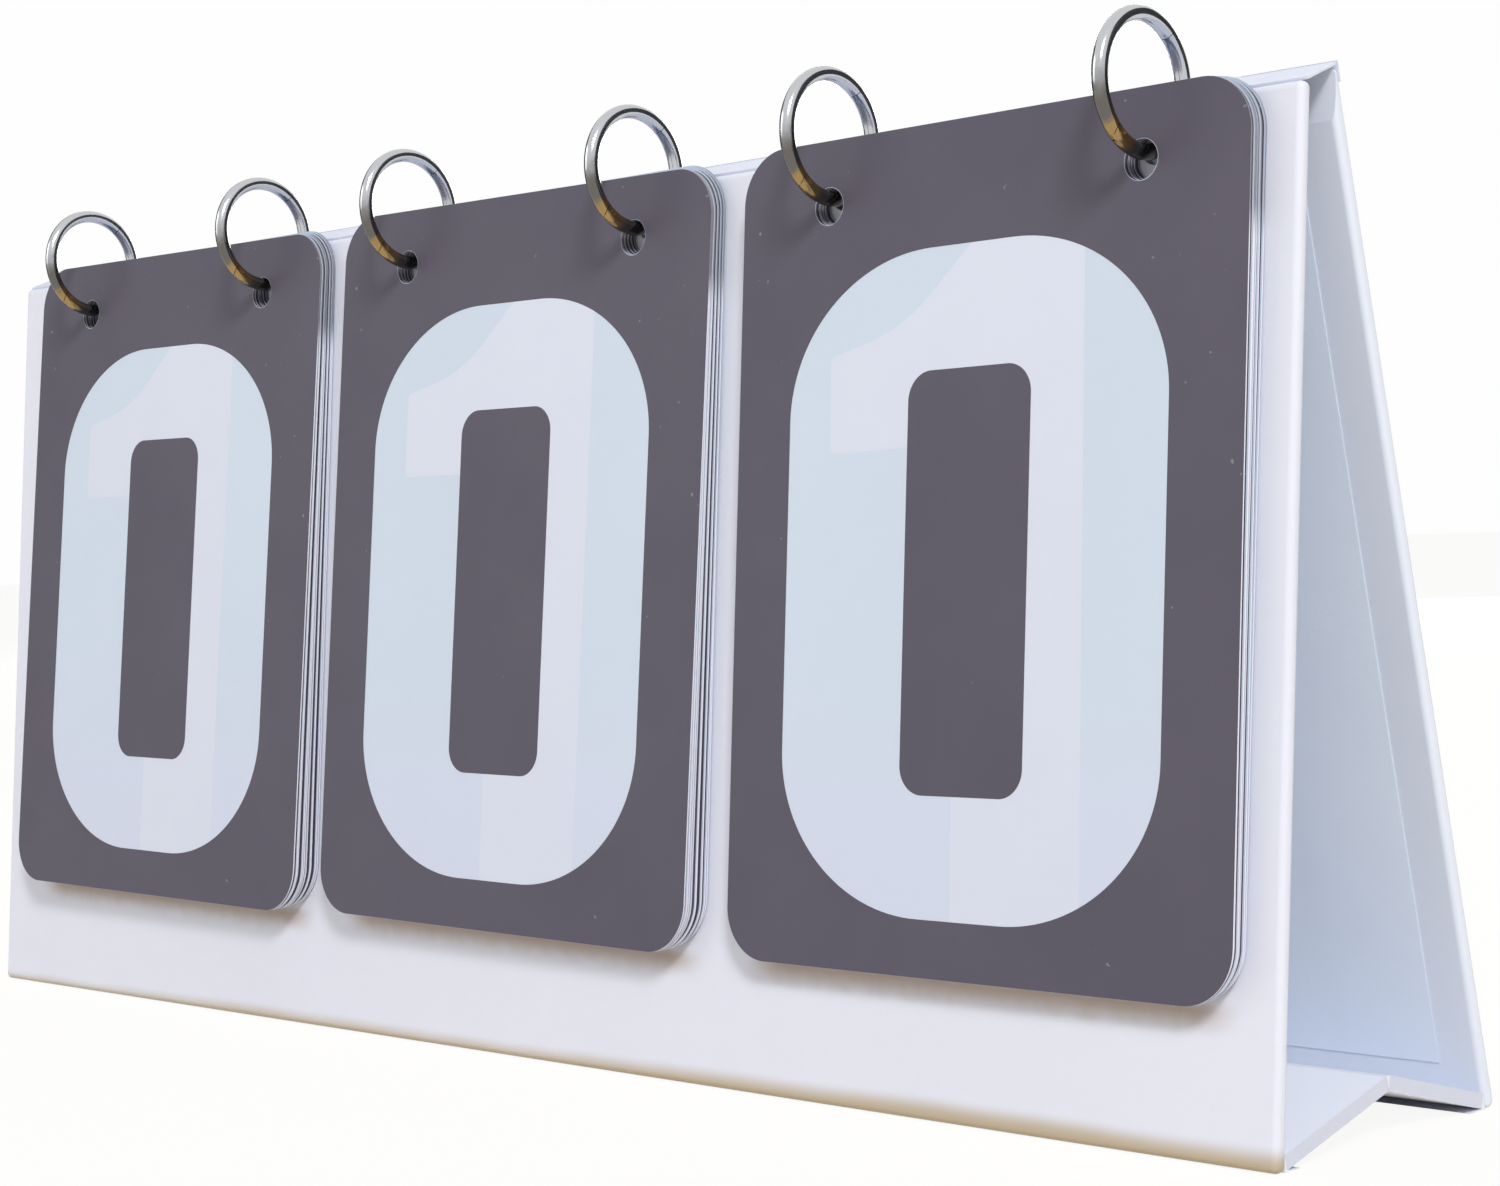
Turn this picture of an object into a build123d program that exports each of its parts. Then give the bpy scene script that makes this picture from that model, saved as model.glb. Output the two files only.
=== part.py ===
from build123d import *
import os
from math import sin, cos, acos, asin, atan2, degrees, radians, sqrt

# Table-top flip scoreboard: a covered-board easel whose front panel carries
# three stacks of ten number leaves on six loose-leaf rings.
# Millimetres, +Z up, X along the length, -Y towards the reader.
# Z = 0 is the table and X = Y = 0 is the middle of the footprint.

# ---- number leaves ------------------------------------------------------
leaf_width = 98.5
leaf_height = 130.0
leaf_thickness = 0.25
leaf_corner = 8.5
leaf_gap = 0.085
leaf_count = 10
leaf_hole_play = 1.8
leaf_hole_spacing = 60.9
leaf_hole_drop = 10.4
leaf_hang_share = 0.667
stack_gap = 7.7
stack_clearance = 0.236
leaf_stray = 0.3
leaf_turn = 0.12
gap_unevenness = 0.75
left_splay = 0.71
middle_splay = 0.46
right_splay = 0.01
rear_splay = 0.01
left_roll = 0.7
middle_roll = 0.65
right_roll = -0.1

# ---- easel -------------------------------------------------------------
left_margin = 13.25
right_margin = 5.85
panel_margin = 20.5
ridge_extra = 6.827
panel_thickness = 2.4
cover_thickness = 0.25
lining_thickness = 0.16
lining_inset = 7.0
base_depth = 57.8
edge_roundness = 0.4375
corner_gap = 0.05

# ---- hinge strip along the top -----------------------------------------
strip_width = 9.372
strip_slope = 20.5
strip_thickness = 0.5
strip_margin = 0.4
ridge_taper = 6.0
ridge_tip_thickness = 1.0

# ---- folding base -------------------------------------------------------
flap_thickness = 2.3
front_flap_lift = 0.4
rear_flap_lift = 0.8
base_ridge_height = 7.0
flap_end_margin = 0.4
hinge_reach = 3.2

# ---- rings --------------------------------------------------------------
wire_diameter = 2.4
ring_radius = 9.8
ring_rise = 2.482
strip_hole_share = 0.715
ring_split_angle = 50.0
rivet_radius = 0.5
pivot_relief = 0.1
lap_gap = 0.03
rivet_fit = 0.01
tongue_radius = 0.5
tongue_length = 1.0
tongue_play = 0.1
clasp_gap = 0.1
board_hole_play = 1.5
strip_hole_play = 0.55
lining_hole_margin = 0.6

os.makedirs("parts", exist_ok=True)

# ---- sizes that follow from those above ----------------------------------
board_length = 3 * leaf_width + 2 * stack_gap + left_margin + right_margin
front_slant = leaf_height + panel_margin
back_slant = front_slant + ridge_extra
edge_round = panel_thickness * edge_roundness
strip_rear_setback = cover_thickness + strip_margin
back_board_drop = strip_thickness + strip_margin
ridge_taper_run = ridge_taper + edge_round
front_flap_seat = flap_thickness + front_flap_lift
rear_flap_seat = flap_thickness + rear_flap_lift
wire_radius = wire_diameter / 2
leaf_pitch = leaf_thickness + leaf_gap
leaf_hole_radius = wire_radius + leaf_hole_play
leaf_hang = leaf_hole_play * leaf_hang_share
board_hole_radius = wire_radius + board_hole_play
strip_hole_radius = wire_radius + strip_hole_play


def yz(y, z):
    return Vector(0, y, z)


# ---- side profile: the two panels lean so that the strip closes the top ----
strip_along = yz(cos(radians(strip_slope)), sin(radians(strip_slope)))
strip_in = yz(strip_along.Z, -strip_along.Y)
closing = yz(base_depth, 0) - strip_along * strip_width
closing_angle = atan2(closing.Z, closing.Y)
front_corner = acos((front_slant ** 2 + closing.length ** 2 - back_slant ** 2)
                    / (2 * front_slant * closing.length))
front_lean = 90 - degrees(closing_angle + front_corner)
front_up = yz(sin(radians(front_lean)), cos(radians(front_lean)))
front_in = yz(front_up.Z, -front_up.Y)
strip_front_setback = (strip_thickness + corner_gap) / sin(radians(strip_slope + front_lean))
back_up = (front_up * front_slant - closing).normalized()
back_in = yz(-back_up.Z, back_up.Y)

# The rings stand out in front, so the footprint sits a little behind them.
limb_along_strip = strip_width * strip_hole_share * cos(radians(strip_slope))
limb_from_foot = front_up.Y * front_slant + limb_along_strip
ring_reach = base_depth / 2 - limb_from_foot + 2 * ring_radius + wire_radius
depth_shift = (ring_reach - base_depth / 2) / 2
front_foot = yz(-base_depth / 2 + depth_shift, 0)
back_foot = yz(base_depth / 2 + depth_shift, 0)
front_top = front_foot + front_up * front_slant
ridge = back_foot + back_up * back_slant
ring_axis = front_top + yz(limb_along_strip - ring_radius, ring_rise)


def on_profile(origin, normal):
    """A plane with x along the easel, z along the given normal."""
    return Plane(origin=origin, x_dir=(1, 0, 0), z_dir=normal)


def slab(origin, along, inward, run, depth, length, rounding):
    """A board lying along a profile line, its outer face on that line."""
    centre = origin + along * (run / 2) + inward * (depth / 2)
    body = Box(length, run, depth)
    if rounding > 0:
        body = fillet(body.edges(), rounding)
    if Plane(origin=centre, x_dir=(1, 0, 0), z_dir=inward).y_dir.dot(along) < 0:
        return Plane(origin=centre, x_dir=(-1, 0, 0), z_dir=inward) * body
    return on_profile(centre, inward) * body


def prism(points, length):
    """A closed side outline swept along the easel's length."""
    outline = Polyline(*[(p.X - length / 2, p.Y, p.Z) for p in points], close=True)
    return extrude(make_face(outline), amount=length, dir=(1, 0, 0))


def rod_x(y, z, radius, x_low, x_high):
    """A cylinder along X."""
    return Pos((x_low + x_high) / 2, y, z) * Rot(0, 90, 0) * Cylinder(radius, x_high - x_low)


# ---- ring places ---------------------------------------------------------
first_centre = -board_length / 2 + left_margin + leaf_width / 2
stack_centres = [first_centre + s * (leaf_width + stack_gap) for s in range(3)]
ring_places = []
for centre in stack_centres:
    ring_places.append(centre - leaf_hole_spacing / 2)
    ring_places.append(centre + leaf_hole_spacing / 2)


def board_holes(margin):
    """Drills through the front panel where the rings' wire crosses it."""
    middle = front_foot + front_in * (panel_thickness / 2)
    to_axis = ring_axis - middle
    level = to_axis.dot(front_up)
    aside = to_axis.dot(front_in)
    place = middle + front_up * (level - sqrt(ring_radius ** 2 - aside ** 2))
    drills = []
    for x in ring_places:
        frame = Plane(origin=place + Vector(x, 0, 0), z_dir=front_in)
        drills.append(frame * Cylinder(board_hole_radius + margin, 4 * panel_thickness))
    return drills


def strip_holes(margin):
    """Upright drills through the hinge strip where the rings come back."""
    drills = []
    for x in ring_places:
        place = Pos(x, ring_axis.Y + ring_radius - margin / 2, ring_axis.Z)
        drills.append(place * Cylinder(strip_hole_radius + margin, 4 * panel_thickness))
    return drills


# ---- covered panels -------------------------------------------------------
core_thickness = panel_thickness - 2 * cover_thickness
core_length = board_length - 2 * cover_thickness


def pared(body, top_centre, along, inward, tip):
    """The body with its inner face pared away towards its top edge."""
    low = top_centre - along * ridge_taper_run + inward * panel_thickness
    high = top_centre + inward * tip
    rise = high - low
    start = low - rise
    end = high + rise
    wedge = prism([start, end, end + inward * base_depth, start + inward * base_depth],
                  2 * board_length)
    return body - wedge


def panel(line_foot, along, inward, line_run, tapered):
    """Board core, wrapped cover and inner lining of one panel, its rounded
    lower edge just resting on the table."""
    lean = atan2(abs(along.Y), along.Z)
    rest = ((panel_thickness - edge_round) * sin(lean) + edge_round - edge_round * cos(lean)) / cos(lean)
    foot = line_foot + along * rest
    run = line_run - rest
    core_start = foot + along * cover_thickness + inward * cover_thickness
    core = slab(core_start, along, inward, run - 2 * cover_thickness, core_thickness, core_length,
                edge_round - cover_thickness)
    wrap = slab(foot, along, inward, run, panel_thickness, board_length, edge_round)
    if tapered:
        top = foot + along * run
        wrap = pared(wrap, top, along, inward, ridge_tip_thickness)
        core = pared(core, top - inward * cover_thickness, along, inward, ridge_tip_thickness)
    window_start = foot + along * lining_inset + inward * (panel_thickness - 1.5 * cover_thickness)
    window = slab(window_start, along, inward, run - 2 * lining_inset, 3 * cover_thickness,
                  board_length - 2 * lining_inset, 0)
    lining_start = window_start + along * corner_gap + inward * (0.5 * cover_thickness)
    lining = slab(lining_start, along, inward, run - 2 * lining_inset - 2 * corner_gap,
                  cover_thickness + lining_thickness, board_length - 2 * lining_inset - 2 * corner_gap, 0)
    return core, wrap - core - window, lining


def place_cut(solid, drills):
    for drill in drills:
        solid = solid - drill
    return solid


def largest(shape):
    """The main solid of a shape, when a cut leaves a stray crumb."""
    return max(shape.solids(), key=lambda one: one.volume)


parts = {}

front_core, front_wrap, front_inner = panel(front_foot, front_up, front_in, front_slant, False)
parts["front_board"] = place_cut(front_core, board_holes(0))
parts["front_cover"] = place_cut(front_wrap, board_holes(0))
parts["front_lining"] = place_cut(front_inner, board_holes(lining_hole_margin))

# The back board stops below the ridge; its cover runs on up to the ridge.
back_board_run = back_slant - back_board_drop
back_core, back_wrap, back_inner = panel(back_foot, back_up, back_in, back_board_run, True)
ridge_skin_start = back_foot + back_up * (back_board_run - 2 * edge_round)
ridge_skin = slab(ridge_skin_start, back_up, back_in, back_board_drop + 2 * edge_round,
                  cover_thickness, board_length, 0)
parts["back_board"] = back_core
parts["back_cover"] = back_wrap + ridge_skin
parts["back_lining"] = back_inner

strip_start = front_top + strip_along * strip_front_setback
strip_body = slab(strip_start, strip_along, strip_in,
                  strip_width - strip_front_setback - strip_rear_setback,
                  strip_thickness, board_length, strip_thickness * edge_roundness / 2)
parts["top_hinge_strip"] = largest(place_cut(strip_body, strip_holes(0)))

# ---- folding base ----------------------------------------------------------
base_ridge = yz(depth_shift, base_ridge_height)
front_flap_pivot = front_foot + front_in * panel_thickness + front_up * front_flap_seat
rear_flap_pivot = back_foot + back_in * panel_thickness + back_up * rear_flap_seat


def flap_profile(pivot):
    """Angle and run of a flap whose underside ends on the base ridge."""
    reach = base_ridge - pivot
    side = 1 if reach.Y > 0 else -1
    rise = atan2(reach.Z, abs(reach.Y)) + asin(flap_thickness / reach.length)
    run = sqrt(reach.length ** 2 - flap_thickness ** 2)
    along = yz(side * cos(rise), sin(rise))
    down = yz(side * sin(rise), -cos(rise))
    return along, down, run


front_along, front_down, front_run = flap_profile(front_flap_pivot)
rear_along, rear_down, rear_run = flap_profile(rear_flap_pivot)
flap_length = board_length - 2 * flap_end_margin
parts["base_front_flap"] = slab(front_flap_pivot + front_along * corner_gap, front_along, front_down,
                                front_run - corner_gap, flap_thickness, flap_length, 0)
parts["base_rear_flap"] = slab(rear_flap_pivot + rear_along * corner_gap, rear_along, rear_down,
                               rear_run - 2 * corner_gap, flap_thickness, flap_length, 0)

# Soft creases that join the boards: each fills the wedge between two edges.
front_inner_foot = front_foot + front_in * panel_thickness
front_crease_low = front_flap_pivot + front_down * flap_thickness
parts["bottom_front_hinge"] = prism(
    [front_inner_foot + front_in * (0.2 * corner_gap) + front_up * (front_flap_seat - 2 * corner_gap),
     front_crease_low - front_along * corner_gap,
     yz(front_crease_low.Y + hinge_reach, 0),
     yz(front_inner_foot.Y + 2 * corner_gap, 0),
     front_inner_foot + front_in * corner_gap + front_up * edge_round],
    flap_length)

rear_inner_foot = back_foot + back_in * panel_thickness
rear_crease_low = rear_flap_pivot + rear_down * flap_thickness
parts["bottom_rear_hinge"] = prism(
    [rear_inner_foot + back_in * (0.2 * corner_gap) + back_up * (rear_flap_seat - 2 * corner_gap),
     rear_crease_low - rear_along * corner_gap,
     yz(rear_crease_low.Y - hinge_reach, 0),
     yz(rear_inner_foot.Y - 2 * corner_gap, 0),
     rear_inner_foot + back_in * corner_gap + back_up * edge_round],
    flap_length)

front_ridge_top = base_ridge - front_down * flap_thickness
rear_ridge_top = base_ridge - rear_down * flap_thickness
parts["base_ridge_hinge"] = prism(
    [base_ridge + yz(0, 4 * corner_gap) + front_along * corner_gap,
     front_ridge_top + front_along * corner_gap,
     rear_ridge_top + rear_along * (2 * corner_gap)],
    flap_length)

# ---- rings -------------------------------------------------------------------
split_low = ring_split_angle
split_high = ring_split_angle + 180.0


def on_ring(x, angle):
    """A point on the middle line of the ring's wire."""
    turn = radians(angle)
    return ring_axis + Vector(x, ring_radius * cos(turn), ring_radius * sin(turn))


def wire_arc(x, start, sweep, radius):
    """A stretch of round wire bent about the ring's axis."""
    turn = radians(start)
    section = Plane(origin=on_ring(x, start), x_dir=(1, 0, 0),
                    z_dir=(0, -sin(turn), cos(turn))) * Circle(radius)
    return revolve(section, axis=Axis((x, ring_axis.Y, ring_axis.Z), (1, 0, 0)), revolution_arc=sweep)


def past_pivot(x, side, x_low, x_high):
    """A block on one side of the pivot, its face square to the wire."""
    turn = radians(split_high)
    reach = 3 * wire_diameter
    forward = Vector(0, -sin(turn), cos(turn)) * side
    centre = on_ring((x_low + x_high) / 2, split_high) + forward * (reach / 2)
    return Plane(origin=centre, x_dir=(1, 0, 0), z_dir=forward) * Box(x_high - x_low, reach, reach)


gap_angle = degrees(clasp_gap / ring_radius)
tongue_angle = degrees(tongue_length / ring_radius)
eye_angle = degrees(wire_diameter / ring_radius)
far = 2 * wire_diameter
for number, x in enumerate(ring_places, start=1):
    pivot = on_ring(x, split_high)
    relief = wire_radius + pivot_relief
    left_of_lap = x - lap_gap
    right_of_lap = x + lap_gap

    # Front half: its eye is the left cheek of the lap.
    front_half = wire_arc(x, split_low + gap_angle, 180 - gap_angle + eye_angle, wire_radius)
    front_half = front_half - past_pivot(x, 1, left_of_lap, x + far)
    front_half = front_half - rod_x(pivot.Y, pivot.Z, relief, left_of_lap, x + far)
    eye_trim = past_pivot(x, 1, x - far, x) - rod_x(pivot.Y, pivot.Z, wire_radius, x - 2 * far, x + far)
    front_half = front_half - eye_trim
    front_half = front_half - rod_x(pivot.Y, pivot.Z, rivet_radius + lap_gap, x - far, x + far)
    front_half = largest(front_half)
    tongue = wire_arc(x, split_low - tongue_angle, tongue_angle + 2 * gap_angle, tongue_radius)
    front_half = front_half + tongue

    # Rear half: the right cheek, and the socket that the tongue snaps into.
    rear_half = wire_arc(x, split_high - eye_angle, 180 + eye_angle, wire_radius)
    rear_half = rear_half - past_pivot(x, -1, x - far, right_of_lap)
    rear_half = rear_half - rod_x(pivot.Y, pivot.Z, relief, x - far, right_of_lap)
    eye_trim = past_pivot(x, -1, x, x + far) - rod_x(pivot.Y, pivot.Z, wire_radius, x - far, x + 2 * far)
    rear_half = rear_half - eye_trim
    rear_half = rear_half - rod_x(pivot.Y, pivot.Z, rivet_radius + rivet_fit, x - far, x + far)
    rear_half = largest(rear_half)
    socket = wire_arc(x, split_low - 2 * tongue_angle, 3 * tongue_angle, tongue_radius + tongue_play)
    rear_half = rear_half - socket

    parts[f"ring_{number}_front_half"] = largest(front_half)
    parts[f"ring_{number}_rear_half"] = largest(rear_half)
    parts[f"ring_{number}_rivet"] = rod_x(pivot.Y, pivot.Z, rivet_radius, x - wire_radius + 2 * lap_gap,
                                          x + wire_radius - 2 * lap_gap)

# ---- number leaves -------------------------------------------------------------
leaf_face = RectangleRounded(leaf_width, leaf_height, leaf_corner)
hole_level = leaf_height / 2 - leaf_hole_drop
for side in (-1, 1):
    leaf_face = leaf_face - Pos(side * leaf_hole_spacing / 2, hole_level) * Circle(leaf_hole_radius)
leaf = Pos(0, -hole_level, -leaf_thickness / 2) * extrude(leaf_face, amount=leaf_thickness)

stack_names = ["left", "middle", "right"]
front_splays = [left_splay, middle_splay, right_splay]
front_rolls = [left_roll, middle_roll, right_roll]
axis_to_board = (front_foot - ring_axis).dot(front_in)
rear_offset = axis_to_board - stack_clearance - leaf_thickness / 2
for s in range(3):
    for k in range(leaf_count):
        share = k / (leaf_count - 1)
        splay = front_splays[s] + (rear_splay - front_splays[s]) * share
        lean = radians(front_lean + splay)
        roll = front_rolls[s] * (1 - share) + leaf_turn * sin((3.1 + s) * k)
        uneven = leaf_gap * gap_unevenness * sin(2.6 * k + s)
        offset = rear_offset - (leaf_count - 1 - k) * leaf_pitch + uneven / 2
        stray = leaf_stray * sin((2.4 + s) * k)
        down = yz(-sin(lean), -cos(lean))
        backward = yz(cos(lean), -sin(lean))
        below = sqrt(ring_radius ** 2 - offset ** 2) + leaf_hang
        holes_middle = ring_axis + backward * offset + down * below + Vector(stack_centres[s] + stray, 0, 0)
        frame = Plane(origin=holes_middle, x_dir=(1, 0, 0), z_dir=backward * -1)
        parts[f"{stack_names[s]}_leaf_{k}"] = frame * Rot(0, 0, -roll) * leaf

for name, shape in parts.items():
    solid = largest(shape)
    solid.label = name
    export_step(solid, f"parts/{name}.step")
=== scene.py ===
from math import acos, atan2, cos, pi, radians, sin, sqrt, tan

import bpy
from mathutils import Matrix, Vector


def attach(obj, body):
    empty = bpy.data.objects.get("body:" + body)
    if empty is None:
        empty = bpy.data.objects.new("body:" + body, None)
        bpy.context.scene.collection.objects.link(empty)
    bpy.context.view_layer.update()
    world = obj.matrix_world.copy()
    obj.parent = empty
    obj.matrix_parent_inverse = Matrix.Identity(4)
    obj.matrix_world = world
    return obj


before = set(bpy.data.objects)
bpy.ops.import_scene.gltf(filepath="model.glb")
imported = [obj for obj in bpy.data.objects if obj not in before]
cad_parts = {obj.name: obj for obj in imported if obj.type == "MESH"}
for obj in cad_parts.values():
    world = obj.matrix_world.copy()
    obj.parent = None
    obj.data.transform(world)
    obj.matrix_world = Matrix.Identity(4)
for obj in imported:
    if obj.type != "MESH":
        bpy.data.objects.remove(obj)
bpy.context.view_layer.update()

MM = 0.001

# ---- sizes shared with the model, in millimetres and degrees ----
RING_RADIUS = 9.8
RING_Y = -18.55
RING_Z = 152.4
RING_HINGE = 230.0
LEAF_W = 98.5
LEAF_H = 130.0
LEAF_T = 0.25
LEAF_CORNER = 8.5
LEAF_COUNT = 10
HOLE_R = 3.0
HOLE_SPACING = 60.9
HOLE_DROP = 10.4
LEAF_HANG = 1.2006
LEAF_GAP = 0.085
GAP_UNEVENNESS = 0.75
LEAF_STRAY = 0.3
LEAF_TURN = 0.12
FIRST_OFFSET = 0.3518
FRONT_LEAN = 5.0406
REAR_SPLAY = 0.01
# Each stack: its name, middle, and how its first leaf splays and rolls.
STACKS = [
    ("left", -102.5, 0.71, 0.7),
    ("middle", 3.7, 0.46, 0.65),
    ("right", 109.9, 0.01, -0.1),
]


# ---------------------------------------------------------------- materials
def material(name):
    """A new node material: itself, its nodes, its links and its shader."""
    mat = bpy.data.materials.new(name)
    mat.use_nodes = True
    nodes = mat.node_tree.nodes
    return mat, nodes, mat.node_tree.links, nodes["Principled BSDF"]


def add(nodes, kind, **values):
    """A new node of a kind, with its values set."""
    node = nodes.new(kind)
    for key, value in values.items():
        setattr(node, key, value)
    return node


def math(nodes, links, operation, *inputs):
    """A maths node whose inputs are sockets or plain numbers."""
    node = add(nodes, "ShaderNodeMath", operation=operation)
    for slot, value in zip(node.inputs, inputs):
        if isinstance(value, (int, float)):
            slot.default_value = value
        else:
            links.new(value, slot)
    return node.outputs[0]


def ramp(nodes, links, factor, stops):
    """A colour ramp over a factor: stops are (place, colour)."""
    node = add(nodes, "ShaderNodeValToRGB")
    elements = node.color_ramp.elements
    while len(elements) < len(stops):
        elements.new(0.5)
    for element, (place, colour) in zip(elements, stops):
        element.position = place
        element.color = (*colour, 1.0)
    links.new(factor, node.inputs["Fac"])
    return node.outputs["Color"]


def axes(nodes, links, vector):
    """The three parts of a vector, by the letters of their axes."""
    split = add(nodes, "ShaderNodeSeparateXYZ")
    links.new(vector, split.inputs[0])
    return split.outputs


def noise(nodes, links, coord, scale, detail=3.0, rough=0.5):
    """Soft cloudy noise, 0 to 1, of that many spots to a metre."""
    node = add(nodes, "ShaderNodeTexNoise")
    node.inputs["Scale"].default_value = scale
    node.inputs["Detail"].default_value = detail
    node.inputs["Roughness"].default_value = rough
    links.new(coord, node.inputs["Vector"])
    return node.outputs["Fac"]


def fade(nodes, links, value, start, end):
    """1 where the value is at its start, falling to 0 at its end."""
    node = add(nodes, "ShaderNodeMapRange", interpolation_type="SMOOTHSTEP")
    node.inputs["From Min"].default_value = start
    node.inputs["From Max"].default_value = end
    node.inputs["To Min"].default_value = 1.0
    node.inputs["To Max"].default_value = 0.0
    links.new(value, node.inputs["Value"])
    return node.outputs["Result"]


def blended(nodes, links, factor, first, second):
    """The first colour where the factor is 0 and the second where it is 1."""
    node = add(nodes, "ShaderNodeMix", data_type="RGBA")
    links.new(factor, node.inputs["Factor"])
    for name, value in (("A", first), ("B", second)):
        if isinstance(value, tuple):
            node.inputs[name].default_value = (*value, 1.0)
        else:
            links.new(value, node.inputs[name])
    return node.outputs["Result"]


def bump(nodes, links, height, shader, distance):
    """Lets a height move the shader's normal, by a distance in metres."""
    node = add(nodes, "ShaderNodeBump")
    node.inputs["Strength"].default_value = 1.0
    node.inputs["Distance"].default_value = distance
    links.new(height, node.inputs["Height"])
    links.new(node.outputs["Normal"], shader.inputs["Normal"])


def surface(shader, rough, specular=0.5, metallic=0.0):
    """Sets how rough, how shiny and how metallic a surface is."""
    shader.inputs["Roughness"].default_value = rough
    shader.inputs["Specular IOR Level"].default_value = specular
    shader.inputs["Metallic"].default_value = metallic


# The noise levels at which a tone has its first and its second colour.
CLOUD_LOW = 0.3
CLOUD_HIGH = 0.7
# How much of a face's normal lies along an axis: it starts to count as
# facing along it at the first and fully does so at the second.
FACING = (0.5, 0.9)

# The painted warm shade along the foot of a panel, where it meets the table:
# the heights in metres where it is full and gone, how it climbs towards the
# right end, and how ragged its edge is.
FOOT_SHADE_FULL = 0.0018
FOOT_SHADE_GONE = 0.0050
FOOT_SHADE_CLIMB = -0.008
FOOT_SHADE_RAGGED = 0.003
# The painted shade in a line just below the leaves' lower edges, in metres:
# its top, darkest and bottom height, where it fades out across each stack,
# and how ragged it is.
CONTACT_SHADE_TOP = 0.0240
CONTACT_SHADE_DARKEST = 0.0218
CONTACT_SHADE_BOTTOM = 0.0178
CONTACT_SHADE_INSIDE = 0.040
CONTACT_SHADE_OUTSIDE = 0.0495
CONTACT_SHADE_RAGGED = 0.0012


def cloudy(nodes, links, cloud, low, high):
    """A tone that drifts between two colours with a cloud of noise."""
    return ramp(nodes, links, cloud, [(CLOUD_LOW, low), (CLOUD_HIGH, high)])


def painted_foot_shade(nodes, links, place, cloud):
    """1 at the foot of a panel, where it stands on the table: there the painted warm shade is
    full.
    """
    sloped = math(nodes, links, "MULTIPLY_ADD", place["X"], FOOT_SHADE_CLIMB, place["Z"])
    uneven_height = math(nodes, links, "MULTIPLY_ADD", cloud, FOOT_SHADE_RAGGED, sloped)
    return fade(nodes, links, uneven_height, FOOT_SHADE_FULL, FOOT_SHADE_GONE)


def painted_contact_shade(nodes, links, place, ragged):
    """1 along the painted shade lines just below the stacks' lower edges on the front cover."""
    total = 0.0
    for _name, centre, _splay, roll in STACKS:
        across = math(nodes, links, "SUBTRACT", place["X"], centre * MM)
        off_centre = math(nodes, links, "ABSOLUTE", across)
        inside = fade(nodes, links, off_centre, CONTACT_SHADE_INSIDE, CONTACT_SHADE_OUTSIDE)
        level = math(nodes, links, "MULTIPLY_ADD", across, tan(radians(roll)), place["Z"])
        level = math(nodes, links, "MULTIPLY_ADD", ragged, CONTACT_SHADE_RAGGED, level)
        below = fade(nodes, links, level, CONTACT_SHADE_DARKEST, CONTACT_SHADE_BOTTOM)
        above = fade(nodes, links, level, CONTACT_SHADE_DARKEST, CONTACT_SHADE_TOP)
        line = math(nodes, links, "MULTIPLY", below, above)
        total = math(nodes, links, "MULTIPLY_ADD", line, inside, total)
    return total


def paper(name, low, high, scale, grain, wave, rough, foot_shade=None, ends_shade=None, contact_shade=None):
    """Laminated paper: cloudy tone, a fine grain and a slow waviness. A foot
    colour is painted warm shade along the foot, where the panel meets the
    table; an ends colour is painted shade on the faces at the piece's two
    ends; a contact-shade colour is painted shade in lines just below the
    leaves' lower edges."""
    mat, nodes, links, shader = material(name)
    coords = add(nodes, "ShaderNodeTexCoord").outputs
    coord = coords["Object"]
    place = axes(nodes, links, coord)
    cloud = noise(nodes, links, coord, scale, detail=4.0, rough=0.55)
    colour = cloudy(nodes, links, cloud, low, high)
    if foot_shade:
        # Painted warm shade along the foot, where the panel meets the table.
        near = painted_foot_shade(nodes, links, place, cloud)
        colour = blended(nodes, links, near, colour, foot_shade)
    if contact_shade:
        ragged = noise(nodes, links, coord, scale=300.0)
        # Painted shade: a warm dark line on the cover just below each stack's lower edge.
        tinted = painted_contact_shade(nodes, links, place, ragged)
        colour = blended(nodes, links, tinted, colour, contact_shade)
    # Painted shade: the faces at the piece's two ends take a darker copy of the paper.
    if ends_shade:
        facing = axes(nodes, links, coords["Normal"])
        along = math(nodes, links, "ABSOLUTE", facing["X"])
        side = fade(nodes, links, along, *FACING)
        colour = blended(nodes, links, side, ends_shade, colour)
    links.new(colour, shader.inputs["Base Color"])
    fine = noise(nodes, links, coord, scale=2600.0, detail=2.0, rough=0.6)
    slow = noise(nodes, links, coord, scale=34.0, detail=2.0, rough=0.4)
    waves = math(nodes, links, "MULTIPLY", slow, wave)
    height = math(nodes, links, "MULTIPLY_ADD", fine, grain, waves)
    bump(nodes, links, height, shader, distance=0.001)
    surface(shader, rough, specular=0.35)
    return mat


# The lining's wrinkles: how they are turned, in degrees, and how their noise
# is scaled along each axis, which draws them out in height.
WRINKLE_TURN = (14.0, 0.0, 8.0)
WRINKLE_SCALE = (1.0, 1.0, 0.28)


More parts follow.
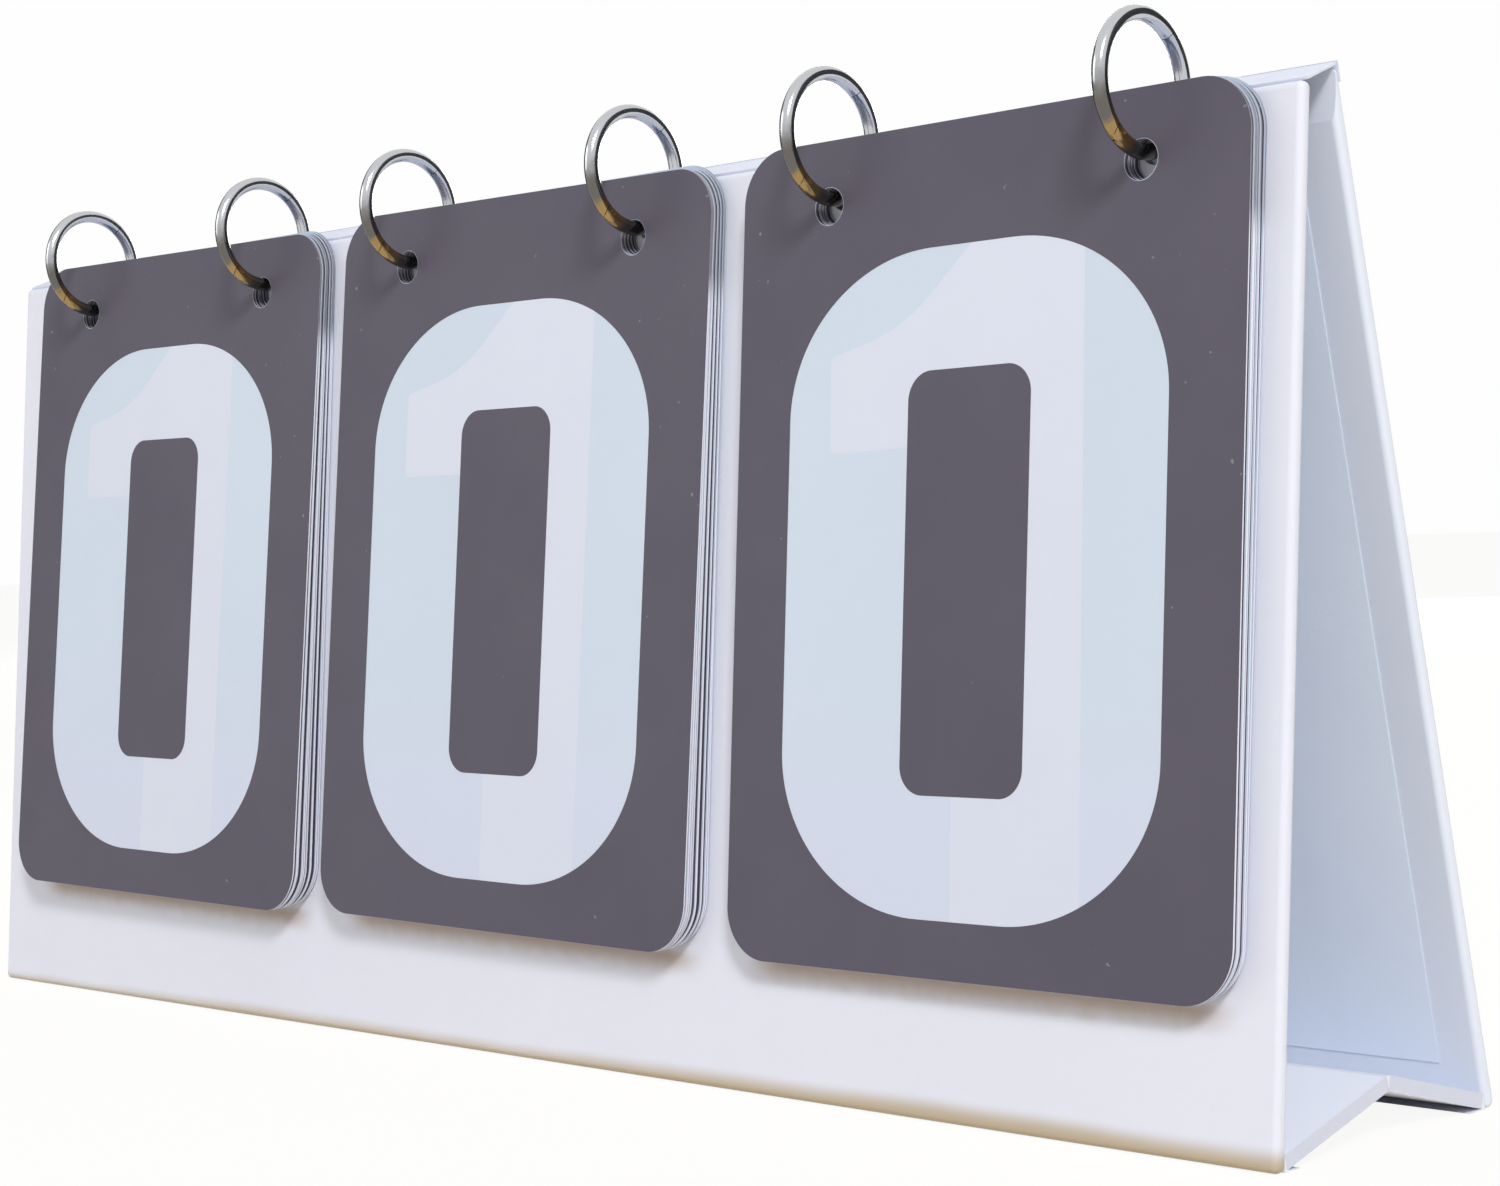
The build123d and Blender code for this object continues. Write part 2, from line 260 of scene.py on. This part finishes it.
def crumpled(name, low, high, rough, grain=0.03, wrinkle=0.17):
    """Lining paper glued on a little unevenly, with faint long wrinkles."""
    mat, nodes, links, shader = material(name)
    coord = add(nodes, "ShaderNodeTexCoord").outputs["Object"]
    stretch = add(nodes, "ShaderNodeMapping")
    stretch.inputs["Rotation"].default_value = [radians(turn) for turn in WRINKLE_TURN]
    stretch.inputs["Scale"].default_value = WRINKLE_SCALE
    links.new(coord, stretch.inputs["Vector"])
    folds = add(nodes, "ShaderNodeTexNoise", noise_type="RIDGED_MULTIFRACTAL")
    folds.inputs["Scale"].default_value = 42.0
    folds.inputs["Detail"].default_value = 2.0
    folds.inputs["Roughness"].default_value = 0.35
    folds.inputs["Distortion"].default_value = 0.5
    links.new(stretch.outputs["Vector"], folds.inputs["Vector"])
    cloud = noise(nodes, links, coord, scale=14.0, detail=4.0, rough=0.55)
    links.new(cloudy(nodes, links, cloud, low, high), shader.inputs["Base Color"])
    fine = noise(nodes, links, coord, scale=2400.0, detail=2.0, rough=0.6)
    wrinkles = math(nodes, links, "MULTIPLY", folds.outputs["Fac"], wrinkle)
    height = math(nodes, links, "MULTIPLY_ADD", fine, grain, wrinkles)
    bump(nodes, links, height, shader, distance=0.001)
    surface(shader, rough, specular=0.3)
    return mat


# Colours of a leaf's bare plastic: its face; a lighter tone near its lower
# edge, painted light from the table; its cut edges; and darker ones at the
# height of its holes, painted shade.
LEAF_FACE = ((0.525, 0.61, 0.735), (0.55, 0.635, 0.76))
LEAF_FACE_WARM_LIGHT = (0.565, 0.618, 0.768)
LEAF_EDGE = (0.74, 0.75, 0.85)
LEAF_HOLE_SHADE = (0.22, 0.21, 0.25)
# Heights in metres: the painted light gives way to the plain face between the
# first two, and the pale cut edges to the painted dark ones between the others.
WARM_LIGHT_HEIGHTS = (0.035, 0.075)
HOLE_SHADE_HEIGHTS = (0.128, 0.134)


def leaf_plastic():
    """Translucent white sheet: bluish faces where the next leaf's dark print
    shows through, paler cut edges, and painted shade on the edges in and about
    the holes; the face is painted lighter near its lower edge, as lit from the
    table."""
    mat, nodes, links, shader = material("leaf_white")
    coords = add(nodes, "ShaderNodeTexCoord").outputs
    height = axes(nodes, links, coords["Object"])["Z"]
    cloud = noise(nodes, links, coords["Object"], scale=12.0)
    face = cloudy(nodes, links, cloud, *LEAF_FACE)
    # Painted light: the face lighter towards its lower edge, as lit from the table.
    lower = fade(nodes, links, height, *WARM_LIGHT_HEIGHTS)
    face = blended(nodes, links, lower, face, LEAF_FACE_WARM_LIGHT)
    # Painted shade: the cut edges from the holes' height up are dark.
    below_hole_shade = fade(nodes, links, height, *HOLE_SHADE_HEIGHTS)
    rim = blended(nodes, links, below_hole_shade, LEAF_HOLE_SHADE, LEAF_EDGE)
    facing = axes(nodes, links, coords["Normal"])
    flatness = math(nodes, links, "ABSOLUTE", facing["Y"])
    edge = fade(nodes, links, flatness, *FACING)
    links.new(blended(nodes, links, edge, face, rim), shader.inputs["Base Color"])
    grain = noise(nodes, links, coords["Object"], scale=900.0, detail=2.0)
    bump(nodes, links, grain, shader, distance=0.00001)
    surface(shader, rough=0.42, specular=0.3)
    return mat


# The noise levels between which a pale scuff begins and is full.
SCUFF_LEVELS = (0.715, 0.745)


def printed(name, low, high, rough, scuff=None):
    """A printed layer: faint mottling, and pale scuffs where asked."""
    mat, nodes, links, shader = material(name)
    coord = add(nodes, "ShaderNodeTexCoord").outputs["Object"]
    cloud = noise(nodes, links, coord, scale=30.0, detail=4.0, rough=0.6)
    colour = cloudy(nodes, links, cloud, low, high)
    if scuff:
        specks = noise(nodes, links, coord, scale=260.0, detail=2.0, rough=0.7)
        clean = fade(nodes, links, specks, *SCUFF_LEVELS)
        mask = math(nodes, links, "SUBTRACT", 1.0, clean)
        colour = blended(nodes, links, mask, colour, scuff)
    links.new(colour, shader.inputs["Base Color"])
    fine = noise(nodes, links, coord, scale=900.0, detail=2.0)
    bump(nodes, links, fine, shader, distance=0.000008)
    surface(shader, rough, specular=0.3)
    return mat


NICKEL = (0.56, 0.57, 0.60)
# The nickel's darker tone near the hinge.
DARK_NICKEL = (0.15, 0.14, 0.13)
WORN_BRASS = (0.36, 0.24, 0.10)
# Distances from a ring's hinge, in metres, over which the darker tone and
# the brass wear each fade out, and how ragged their edge is.
DARKENING_REACH = (0.0070, 0.0125)
BRASS_REACH = (0.0030, 0.0050)
TONE_RAGGED = 0.0022


def ring_metal():
    """Nickel wire, darker and then worn to warm brass towards the hinge."""
    mat, nodes, links, shader = material("ring_nickel")
    coord = add(nodes, "ShaderNodeTexCoord").outputs["Object"]
    place = axes(nodes, links, coord)
    turn = radians(RING_HINGE)
    hinge = {"Y": RING_Y + RING_RADIUS * cos(turn), "Z": RING_Z + RING_RADIUS * sin(turn)}
    squares = []
    for axis, middle in hinge.items():
        less = math(nodes, links, "SUBTRACT", place[axis], middle * MM)
        squares.append(math(nodes, links, "MULTIPLY", less, less))
    away = math(nodes, links, "SQRT", math(nodes, links, "ADD", *squares))
    blotch = noise(nodes, links, coord, scale=700.0)
    ragged = math(nodes, links, "MULTIPLY_ADD", blotch, TONE_RAGGED, away)
    darkened = fade(nodes, links, ragged, *DARKENING_REACH)
    tone = blended(nodes, links, darkened, NICKEL, DARK_NICKEL)
    tinted = fade(nodes, links, ragged, *BRASS_REACH)
    links.new(blended(nodes, links, tinted, tone, WORN_BRASS), shader.inputs["Base Color"])
    scratch = noise(nodes, links, coord, scale=1500.0, rough=0.6)
    bump(nodes, links, scratch, shader, distance=0.00001)
    surface(shader, rough=0.14, metallic=1.0)
    return mat


# The tarnished and the clean brass, each at its level of noise.
BRASS_STOPS = [(0.35, (0.32, 0.19, 0.06)), (0.65, (0.56, 0.36, 0.13))]


def rivet_brass():
    """Brass with darker tarnish."""
    mat, nodes, links, shader = material("rivet_brass")
    coord = add(nodes, "ShaderNodeTexCoord").outputs["Object"]
    tarnish = noise(nodes, links, coord, scale=1800.0, rough=0.6)
    links.new(ramp(nodes, links, tarnish, BRASS_STOPS), shader.inputs["Base Color"])
    surface(shader, rough=0.3, metallic=1.0)
    return mat


# Painted shade: the foot colour along the panel's foot, the rub colour in lines below the
# stacks.
cover_mat = paper("cover_paper", (0.66, 0.69, 0.80), (0.685, 0.715, 0.825),
                  scale=9.0, grain=0.02, wave=0.35, rough=0.5,
                  foot_shade=(0.45, 0.38, 0.28), contact_shade=(0.43, 0.37, 0.34))
crease_mat = paper("crease_paper", (0.70, 0.73, 0.82), (0.75, 0.78, 0.87),
                   scale=20.0, grain=0.03, wave=0.3, rough=0.6)
back_mat = paper("back_cover_paper", (0.665, 0.72, 0.835), (0.70, 0.755, 0.87),
                 scale=9.0, grain=0.02, wave=0.35, rough=0.5)
# The flap paper's ends colour is painted shade on its end faces.
flap_mat = paper("flap_paper", (0.77, 0.80, 0.90), (0.80, 0.83, 0.92),
                 scale=12.0, grain=0.02, wave=0.3, rough=0.55, ends_shade=(0.60, 0.64, 0.76))
board_mat = paper("grey_board", (0.42, 0.40, 0.38), (0.5, 0.48, 0.46),
                  scale=60.0, grain=0.1, wave=0.2, rough=0.85)
lining_mat = crumpled("lining_paper", (0.705, 0.78, 0.91), (0.75, 0.825, 0.95), rough=0.55)
leaf_mat = leaf_plastic()
ink_mat = printed("leaf_ink", (0.074, 0.068, 0.100), (0.086, 0.079, 0.112),
                  rough=0.5, scuff=(0.21, 0.20, 0.25))
ghost_mat = printed("leaf_show_through", (0.595, 0.64, 0.765), (0.61, 0.655, 0.78), rough=0.42)
ring_mat = ring_metal()
brass_mat = rivet_brass()


def dress(node, mat):
    """Gives a CAD node its material."""
    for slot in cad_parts[node].material_slots:
        slot.link = "OBJECT"
        slot.material = mat


def finish_of(node):
    """The material of a CAD node, told from its name."""
    if "leaf" in node:
        return leaf_mat
    if "rivet" in node:
        return brass_mat
    if node.startswith("ring"):
        return ring_mat
    if "lining" in node:
        return lining_mat
    if "flap" in node:
        return flap_mat
    if node.startswith(("bottom", "base")):
        return crease_mat
    if node in ("front_board", "back_board"):
        return board_mat
    if node == "back_cover":
        return back_mat
    return cover_mat


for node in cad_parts:
    dress(node, finish_of(node))

# ------------------------------------------------------------------- digits
# Outlines about the digit's centre, in millimetres, as corners with a radius
# each: (x, y, r), or (x, y, rx, ry) for an oval corner.
W = 37.05               # half the width of a digit
H = 51.05               # half its height
IN = 12                 # half the width inside a digit
ZERO_IN = 12.05         # half the width inside the zero
TOP = 32.3              # half the height inside a digit
BIG = 27.0              # radius of an outer corner
OVAL = (29.0, 25.0)     # radii of the zero's outer corners
BEND = 26               # radius of a wide bend
WAIST = 12              # radius of the lobes at a digit's waist
SNUG = 5                # radius of an inner corner
ZERO_SNUG = 4.5         # radius of the zero's inner corners
CRISP = 2               # radius of a stroke's end
KEEN = 1                # radius of a sharp corner


def four_corners(side, top, bottom, *radii):
    """A four-sided outline, even about the middle."""
    corners = [(-side, top), (side, top), (side, bottom), (-side, bottom)]
    return [(x, y, *radii) for x, y in corners]


DIGITS = {
    0: [four_corners(W, H, -H, *OVAL), four_corners(ZERO_IN, TOP, -TOP, ZERO_SNUG)],
    1: [[(22.3, H, KEEN), (22.3, -H, KEEN), (-2.2, -H, KEEN), (-2.2, 21, KEEN),
         (-27.8, 21, KEEN), (-27.8, 36.1, KEEN), (-12.5, 39.5, 30), (0.8, H, KEEN)]],
    2: [[(-W, H, BIG), (W, H, BIG), (W, -6, BEND), (-IN, -20, 6), (-IN, -TOP, CRISP),
         (W, -TOP, CRISP), (W, -H, CRISP), (-W, -H, CRISP), (-W, -10, BEND), (IN, 4, 6),
         (IN, TOP, SNUG), (-IN, TOP, SNUG), (-IN, 20, CRISP), (-W, 20, CRISP)]],
    3: [[(-W, H, BIG), (W, H, BIG), (W, 6, WAIST), (28, 0, 4), (W, -6, WAIST),
         (W, -H, BIG), (-W, -H, BIG), (-W, -20, CRISP), (-IN, -20, CRISP),
         (-IN, -TOP, SNUG), (IN, -TOP, SNUG), (IN, -9.3, SNUG), (-8, -9.3, CRISP),
         (-8, 9.3, CRISP), (IN, 9.3, SNUG), (IN, TOP, SNUG), (-IN, TOP, SNUG),
         (-IN, 20, CRISP), (-W, 20, CRISP)]],
    4: [[(0, H, CRISP), (28, H, CRISP), (28, -12, KEEN), (38, -12, CRISP), (38, -30, CRISP),
         (28, -30, KEEN), (28, -H, CRISP), (3, -H, CRISP), (3, -30, KEEN),
         (-38, -30, CRISP), (-38, -14, 3)],
        [(3, 20, KEEN), (3, -12, KEEN), (-14, -12, KEEN)]],
    5: [[(-W, H, CRISP), (35, H, CRISP), (35, TOP, CRISP), (-IN, TOP, 3), (-IN, 13, KEEN),
         (W, 13, 28), (W, -H, BIG), (-W, -H, BIG), (-W, -20, CRISP), (-IN, -20, CRISP),
         (-IN, -TOP, SNUG), (IN, -TOP, SNUG), (IN, -5.7, SNUG), (-W, -5.7, CRISP)]],
    6: [[(-W, H, BIG), (W, H, BIG), (W, 20, CRISP), (IN, 20, CRISP), (IN, TOP, SNUG),
         (-IN, TOP, SNUG), (-IN, 12, CRISP), (W, 12, BEND), (W, -H, BIG), (-W, -H, BIG)],
        four_corners(IN, -6.5, -TOP, SNUG)],
    7: [[(-W, H, CRISP), (W, H, CRISP), (W, 34, 6), (8, -H, CRISP), (-19, -H, CRISP),
         (9, TOP, 3), (-W, TOP, CRISP)]],
    8: [[(-W, H, BIG), (W, H, BIG), (W, 6, WAIST), (30, 0, 4), (W, -6, WAIST),
         (W, -H, BIG), (-W, -H, BIG), (-W, -6, WAIST), (-30, 0, 4), (-W, 6, WAIST)],
        four_corners(IN, 34, 9.3, SNUG), four_corners(IN, -9.3, -34, SNUG)],
}
# The nine is the six turned upside down.
DIGITS[9] = [[(-x, -y, r) for x, y, r in loop] for loop in DIGITS[6]]
# The digit's centre on a leaf: from the middle, and below the top edge.
DIGIT_X = -0.76
DIGIT_DOWN = 70.1


def oval_corner(here, a, b, radii, steps):
    """The points of a quarter oval between two square edges."""
    reach_a = radii[0] * abs(a.x) + radii[1] * abs(a.y)
    reach_b = radii[0] * abs(b.x) + radii[1] * abs(b.y)
    middle = here + a * reach_a + b * reach_b
    out = []
    for j in range(steps + 1):
        turn = pi / 2 * j / steps
        out.append(middle - b * (reach_b * cos(turn)) - a * (reach_a * sin(turn)))
    return out


# The share of an edge that the arc at one of its ends may take.
EDGE_SHARE = 0.499
# Arcs get one more share of points for each of these millimetres of radius.
FINER_EACH = 12


def round_corner(here, before, after, r, steps):
    """The points of an arc that touches both edges of a corner."""
    a = before.normalized()
    b = after.normalized()
    half = acos(max(-1.0, min(1.0, a.dot(b)))) / 2
    cut = min(r / tan(half), before.length * EDGE_SHARE, after.length * EDGE_SHARE)
    radius = cut * tan(half)
    middle = here + (a + b).normalized() * (radius / sin(half))
    start = here + a * cut - middle
    end = here + b * cut - middle
    first = atan2(start.y, start.x)
    sweep = (atan2(end.y, end.x) - first + pi) % (2 * pi) - pi
    count = max(2, int(steps * abs(sweep) * (1 + radius / FINER_EACH)))
    turns = [first + sweep * j / count for j in range(count + 1)]
    return [middle + Vector((cos(turn), sin(turn))) * radius for turn in turns]


def rounded(corners, steps=8):
    """The outline with each corner replaced by its arc."""
    out = []
    count = len(corners)
    for i, (x, y, *radii) in enumerate(corners):
        here = Vector((x, y))
        before = Vector(corners[i - 1][:2]) - here
        after = Vector(corners[(i + 1) % count][:2]) - here
        if len(radii) == 2:
            points = oval_corner(here, before.normalized(), after.normalized(), radii, 4 * steps)
        else:
            points = round_corner(here, before, after, radii[0], steps)
        out.extend((p.x, p.y) for p in points)
    return out


def circle(x, y, r, steps=48):
    """The points of a circle."""
    turns = [2 * pi * i / steps for i in range(steps)]
    return [(x + r * cos(turn), y + r * sin(turn)) for turn in turns]


def flat_mesh(name, loops, thickness, mat):
    """A thin printed layer from outlines filled by the even-odd rule."""
    data = bpy.data.curves.new(name, "CURVE")
    data.dimensions = "2D"
    data.fill_mode = "BOTH"
    data.extrude = thickness * MM / 2
    for loop in loops:
        spline = data.splines.new("POLY")
        spline.points.add(len(loop) - 1)
        for point, (x, y) in zip(spline.points, loop):
            point.co = (x * MM, y * MM, 0, 1)
        spline.use_cyclic_u = True
    holder = bpy.data.objects.new(name + "_outline", data)
    mesh = bpy.data.meshes.new_from_object(holder)
    bpy.data.objects.remove(holder)
    mesh.name = name
    mesh.materials.append(mat)
    return mesh


# ------------------------------------------------------------ printed leaves
# Widths left bare of print at the edge of the first leaf, at the edges of the
# others and about the holes.
INK_EDGE = 0.02
BACK_INK_EDGE = 0.28
INK_HOLE_EDGE = 0.06
# Each layer's thickness and how far its middle lies off the leaf.
INK_T = 0.012
INK_LIFT = 0.0135
GHOST_T = 0.006
GHOST_LIFT = 0.005
# How far, in degrees, the print that shows through each stack's first leaf is
# turned.
SHOW_TURNS = (0.0, 0.0, 1.0)

# Outlines on a leaf are about the point midway between its holes, y up. This
# is the height of the leaf's own middle.
leaf_mid = HOLE_DROP - LEAF_H / 2


def leaf_outline(inset):
    """The leaf's outline drawn in by the width left bare of print."""
    side = LEAF_W / 2 - inset
    high = leaf_mid + LEAF_H / 2 - inset
    low = leaf_mid - LEAF_H / 2 + inset
    return rounded(four_corners(side, high, low, LEAF_CORNER - inset), steps=14)


hole_loops = [circle(side * HOLE_SPACING / 2, 0, HOLE_R + INK_HOLE_EDGE) for side in (-1, 1)]


def digit_loops(value):
    """The outlines of a digit in its place on a leaf."""
    drop = HOLE_DROP - DIGIT_DOWN
    return [[(x + DIGIT_X, y + drop) for x, y in rounded(loop)] for loop in DIGITS[value]]


def ink_loops(value):
    """The print about a digit: the leaf less its holes and the digit."""
    edge = BACK_INK_EDGE if value else INK_EDGE
    return [leaf_outline(edge), *hole_loops, *digit_loops(value)]


ink_meshes = [flat_mesh(f"ink_{value}", ink_loops(value), INK_T, ink_mat)
              for value in range(LEAF_COUNT)]
ghost_meshes = [flat_mesh(f"ghost_{value}", digit_loops(value), GHOST_T, ghost_mat)
                for value in range(1, LEAF_COUNT)]


# How fast the leaves' turn, gap and stray come and go down a stack.
TURN_PACE = 3.1
GAP_PACE = 2.6
STRAY_PACE = 2.4


def leaf_frame(s, k):
    """Where a leaf's front face lies: origin midway between its holes."""
    _name, centre, splay_front, roll_front = STACKS[s]
    share = k / (LEAF_COUNT - 1)
    lean = radians(FRONT_LEAN + splay_front + (REAR_SPLAY - splay_front) * share)
    roll = radians(roll_front * (1 - share) + LEAF_TURN * sin((TURN_PACE + s) * k))
    uneven = LEAF_GAP * GAP_UNEVENNESS * sin(GAP_PACE * k + s)
    offset = FIRST_OFFSET + k * (LEAF_T + LEAF_GAP) + uneven / 2
    stray = LEAF_STRAY * sin((STRAY_PACE + s) * k)
    down = Vector((0, -sin(lean), -cos(lean)))
    backward = Vector((0, cos(lean), -sin(lean)))
    below = sqrt(RING_RADIUS ** 2 - offset ** 2) + LEAF_HANG
    place = Vector((centre + stray, RING_Y, RING_Z))
    place += backward * (offset - LEAF_T / 2)
    place += down * below
    right = Vector((1, 0, 0))
    x_axis = right * cos(roll) + down * sin(roll)
    y_axis = right * sin(roll) - down * cos(roll)
    matrix = Matrix((x_axis, y_axis, -backward)).transposed().to_4x4()
    matrix.translation = place * MM
    return matrix


def place_piece(name, mesh, matrix, body):
    """Puts a piece in the scene and lets it ride on a body."""
    obj = bpy.data.objects.new(name, mesh)
    bpy.context.scene.collection.objects.link(obj)
    obj.matrix_world = matrix
    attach(obj, body)


def lifted(matrix, lift):
    """The frame moved out of the leaf's face."""
    return matrix @ Matrix.Translation((0, 0, lift * MM))


def turned(matrix, degrees):
    """The frame turned about the middle of the digit."""
    middle = Matrix.Translation((DIGIT_X * MM, (HOLE_DROP - DIGIT_DOWN) * MM, 0))
    return matrix @ middle @ Matrix.Rotation(radians(degrees), 4, "Z") @ middle.inverted()


for s, (stack, *_lie) in enumerate(STACKS):
    for k in range(LEAF_COUNT):
        seat = leaf_frame(s, k)
        body = f"{stack}_leaf_{k}"
        place_piece(f"{stack}_ink_{k}", ink_meshes[k], lifted(seat, INK_LIFT), body)
        if k + 1 < LEAF_COUNT:
            turn = SHOW_TURNS[s] if k == 0 else 0.0
            shade_seat = turned(lifted(seat, GHOST_LIFT), turn)
            place_piece(f"{stack}_shade_{k}", ghost_meshes[k], shade_seat, body)


# --------------------------------------------------------------- the studio
def sees_background(nodes, links):
    """1 for rays that see the plain background: camera, mirror, glass."""
    path = add(nodes, "ShaderNodeLightPath").outputs
    first = math(nodes, links, "MAXIMUM", path["Is Camera Ray"], path["Is Glossy Ray"])
    return math(nodes, links, "MAXIMUM", first, path["Is Transmission Ray"])


BACKGROUND = (0.985, 0.99, 0.985, 1)
SKY = (0.96, 0.98, 1.0, 1)
SKY_STRENGTH = 0.53
FLOOR_SIZE = 30.0
FLOOR_HEIGHT = -0.0001
FLOOR_COLOUR = (0.88, 0.79, 0.66, 1)
# The share of the floor's look that is the background's own glow. The rest
# takes the object's shadow.
FLOOR_GLOW_SHARE = 0.9
FLOOR_GLOW = 1.02

bpy.ops.mesh.primitive_plane_add(size=FLOOR_SIZE, location=(0, 0, FLOOR_HEIGHT))
floor = bpy.context.object
floor.name = "floor"
floor_mat, nodes, links, shader = material("floor_pale")
shader.inputs["Base Color"].default_value = FLOOR_COLOUR
surface(shader, rough=0.9)
glow = add(nodes, "ShaderNodeEmission")
glow.inputs["Color"].default_value = BACKGROUND
glow.inputs["Strength"].default_value = FLOOR_GLOW
blend = add(nodes, "ShaderNodeMixShader")
seen = math(nodes, links, "MULTIPLY", sees_background(nodes, links), FLOOR_GLOW_SHARE)
links.new(seen, blend.inputs["Fac"])
links.new(shader.outputs[0], blend.inputs[1])
links.new(glow.outputs[0], blend.inputs[2])
links.new(blend.outputs[0], nodes["Material Output"].inputs["Surface"])
floor.data.materials.append(floor_mat)

world = bpy.data.worlds.new("studio")
bpy.context.scene.world = world
world.use_nodes = True
nodes = world.node_tree.nodes
links = world.node_tree.links
soft = nodes["Background"]
soft.inputs["Color"].default_value = SKY
soft.inputs["Strength"].default_value = SKY_STRENGTH
backdrop = add(nodes, "ShaderNodeBackground")
backdrop.inputs["Color"].default_value = BACKGROUND
blend = add(nodes, "ShaderNodeMixShader")
links.new(sees_background(nodes, links), blend.inputs["Fac"])
links.new(soft.outputs[0], blend.inputs[1])
links.new(backdrop.outputs[0], blend.inputs[2])
links.new(blend.outputs[0], nodes["World Output"].inputs["Surface"])

# The middle of the object, which the lamps are aimed at.
MIDDLE = (0, 0, 0.08)


def lamp(name, place, size, power, colour):
    """A square area lamp aimed at the middle of the object."""
    data = bpy.data.lights.new(name, "AREA")
    data.shape = "RECTANGLE"
    data.size, data.size_y = size, size
    data.energy = power
    data.color = colour
    obj = bpy.data.objects.new(name, data)
    obj.location = place
    aim = Vector(MIDDLE) - Vector(place)
    obj.rotation_euler = aim.to_track_quat("-Z", "Y").to_euler()
    bpy.context.scene.collection.objects.link(obj)


lamp("key", (2.0, -1.5, 2.15), size=0.65, power=72.0, colour=(1.0, 0.985, 0.97))
lamp("rear", (-1.6, 2.2, 0.5), size=0.8, power=26.0, colour=(1.0, 0.99, 0.98))
lamp("fill", (-1.0, -1.1, 0.6), size=0.8, power=3.0, colour=(1.0, 0.99, 0.98))

CARD_COLOUR = (0.02, 0.022, 0.03, 1)


def dark_card(name, place, size, heading):
    """A dark screen that shows only in reflections, as in the metal."""
    upright = (radians(90), 0, radians(heading))
    bpy.ops.mesh.primitive_plane_add(size=1, location=place, rotation=upright)
    card = bpy.context.object
    card.name = name
    card.scale = (*size, 1)
    mat, _nodes, _links, black = material(name + "_black")
    black.inputs["Base Color"].default_value = CARD_COLOUR
    card.data.materials.append(mat)
    card.visible_camera = False
    card.visible_diffuse = False
    card.visible_shadow = False
    card.visible_transmission = False


dark_card("right_screen", (0.75, 0.95, 0.3), size=(1.5, 1.6), heading=-38)
dark_card("left_screen", (-1.3, 0.0, 0.3), size=(1.2, 1.6), heading=90)

# --------------------------------------------------------------- the camera
CAMERA_PLACE = (0.3875, -0.35035, 0.0888)
YAW = radians(44.88)
TILT = radians(-2.75)
ROLL = radians(-2.04)
SENSOR_WIDTH = 36.0
LENS = 68.4
SHIFT = (0.0008, 0.0585)
forward = Vector((-sin(YAW) * cos(TILT), cos(YAW) * cos(TILT), sin(TILT)))
right = forward.cross(Vector((0, 0, 1))).normalized()
up = right.cross(forward)
x_axis = right * cos(ROLL) + up * sin(ROLL)
y_axis = up * cos(ROLL) - right * sin(ROLL)
camera_data = bpy.data.cameras.new("camera")
camera_data.sensor_width = SENSOR_WIDTH
camera_data.lens = LENS
camera_data.shift_x, camera_data.shift_y = SHIFT
camera = bpy.data.objects.new("camera", camera_data)
matrix = Matrix((x_axis, y_axis, -forward)).transposed().to_4x4()
matrix.translation = Vector(CAMERA_PLACE)
camera.matrix_world = matrix
bpy.context.scene.collection.objects.link(camera)
bpy.context.scene.camera = camera
bpy.context.scene.view_settings.view_transform = "Standard"
